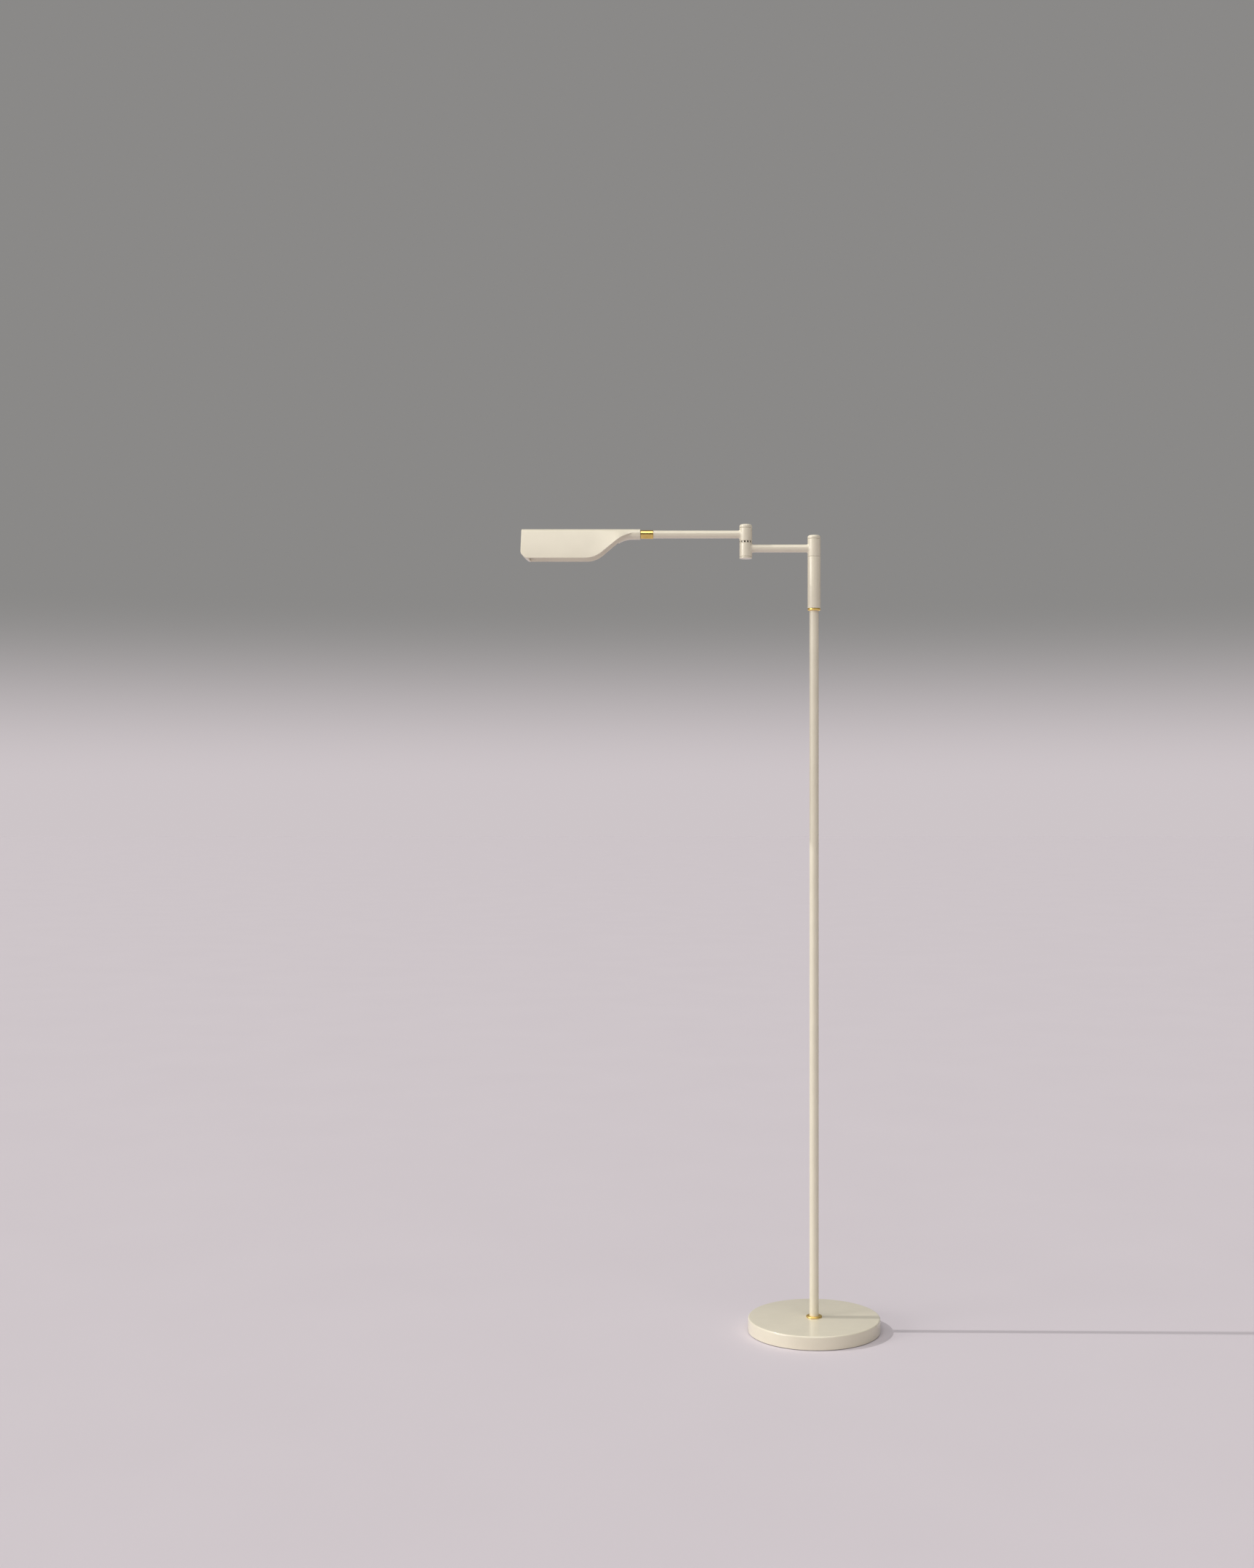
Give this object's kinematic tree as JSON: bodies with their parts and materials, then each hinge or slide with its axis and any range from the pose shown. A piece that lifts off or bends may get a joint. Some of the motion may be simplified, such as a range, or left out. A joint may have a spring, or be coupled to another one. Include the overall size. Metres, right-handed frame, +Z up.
{
  "type": "adjustable arm floor lamp",
  "caption": "Slim floor lamp with a round weighted base, straight pole, two-part swing arm with a swivel elbow, and a tent-shaped LED head that rolls about the arm.",
  "frame": {"origin": "centre of the underside of the round base, on the floor", "axes": "+Z up along the pole; at rest the arms and the head reach towards -X; Y is across the head"},
  "size_m": [0.6235, 0.2322, 1.4028],
  "materials": {
    "cream_paint": "satin cream powder coat",
    "brass": "polished",
    "cast_iron": "as cast",
    "zinc_steel": "zinc plated",
    "aluminium": "plain sheet",
    "black_nylon": "smooth black",
    "grey_foam": "matt foam rubber",
    "opal_acrylic": "opal",
    "board_white": "white solder mask",
    "lead_white": "plain insulation"
  },
  "bodies": {
    "stand": {"floor_pad": "grey_foam", "base_cover": "cream_paint", "base_weight": "cast_iron", "cord_grommet": "black_nylon", "base_washer": "zinc_steel", "base_nut": "zinc_steel", "base_nipple": "zinc_steel", "foot_ring": "brass", "pole_tube": "cream_paint", "pole_foot_plug": "zinc_steel", "sleeve_ring": "brass", "upper_sleeve": "cream_paint", "sleeve_bush": "black_nylon", "sleeve_plug": "zinc_steel", "post_friction_washer": "black_nylon", "post_spring_washer": "zinc_steel", "post_nut": "zinc_steel", "post_nipple": "zinc_steel", "pole_lead": "lead_white"},
    "lower_arm": {"hub_barrel": "cream_paint", "hub_cap": "cream_paint", "lower_arm_tube": "cream_paint", "elbow_lower_barrel": "cream_paint", "elbow_lower_cap": "cream_paint", "elbow_spacer_ring": "cream_paint", "elbow_inner_ring": "black_nylon", "elbow_lower_washer": "zinc_steel", "elbow_lower_nut": "zinc_steel", "elbow_spring_washer": "zinc_steel", "elbow_nut": "zinc_steel", "elbow_nipple": "zinc_steel", "lower_arm_lead": "lead_white"},
    "upper_arm": {"elbow_upper_barrel": "cream_paint", "elbow_upper_cap": "cream_paint", "upper_arm_tube": "cream_paint", "swivel_collar": "brass", "head_friction_washer": "black_nylon", "head_spring_washer": "zinc_steel", "head_nut": "zinc_steel", "head_nipple": "zinc_steel", "upper_arm_lead": "lead_white"},
    "head": {"head_shell": "cream_paint", "diffuser": "opal_acrylic", "lamp_tray": "aluminium", "tray_screw_1": "zinc_steel", "tray_screw_2": "zinc_steel", "led_board": "board_white", "head_lead": "lead_white"}
  },
  "joints": [
    {"name": "post_swivel", "type": "hinge", "parent": "stand", "child": "lower_arm", "pos_m": [0, 0, 1.3463], "axis": [0, 0, 1], "range_deg": [-165, 165]},
    {"name": "elbow_swivel", "type": "hinge", "parent": "lower_arm", "child": "upper_arm", "pos_m": [-0.1187, 0, 1.3735], "axis": [0, 0, 1], "range_deg": [-165, 165]},
    {"name": "head_roll", "type": "hinge", "parent": "upper_arm", "child": "head", "pos_m": [-0.3018, 0, 1.385], "axis": [1, 0, 0], "range_deg": [-90, 90]}
  ]
}
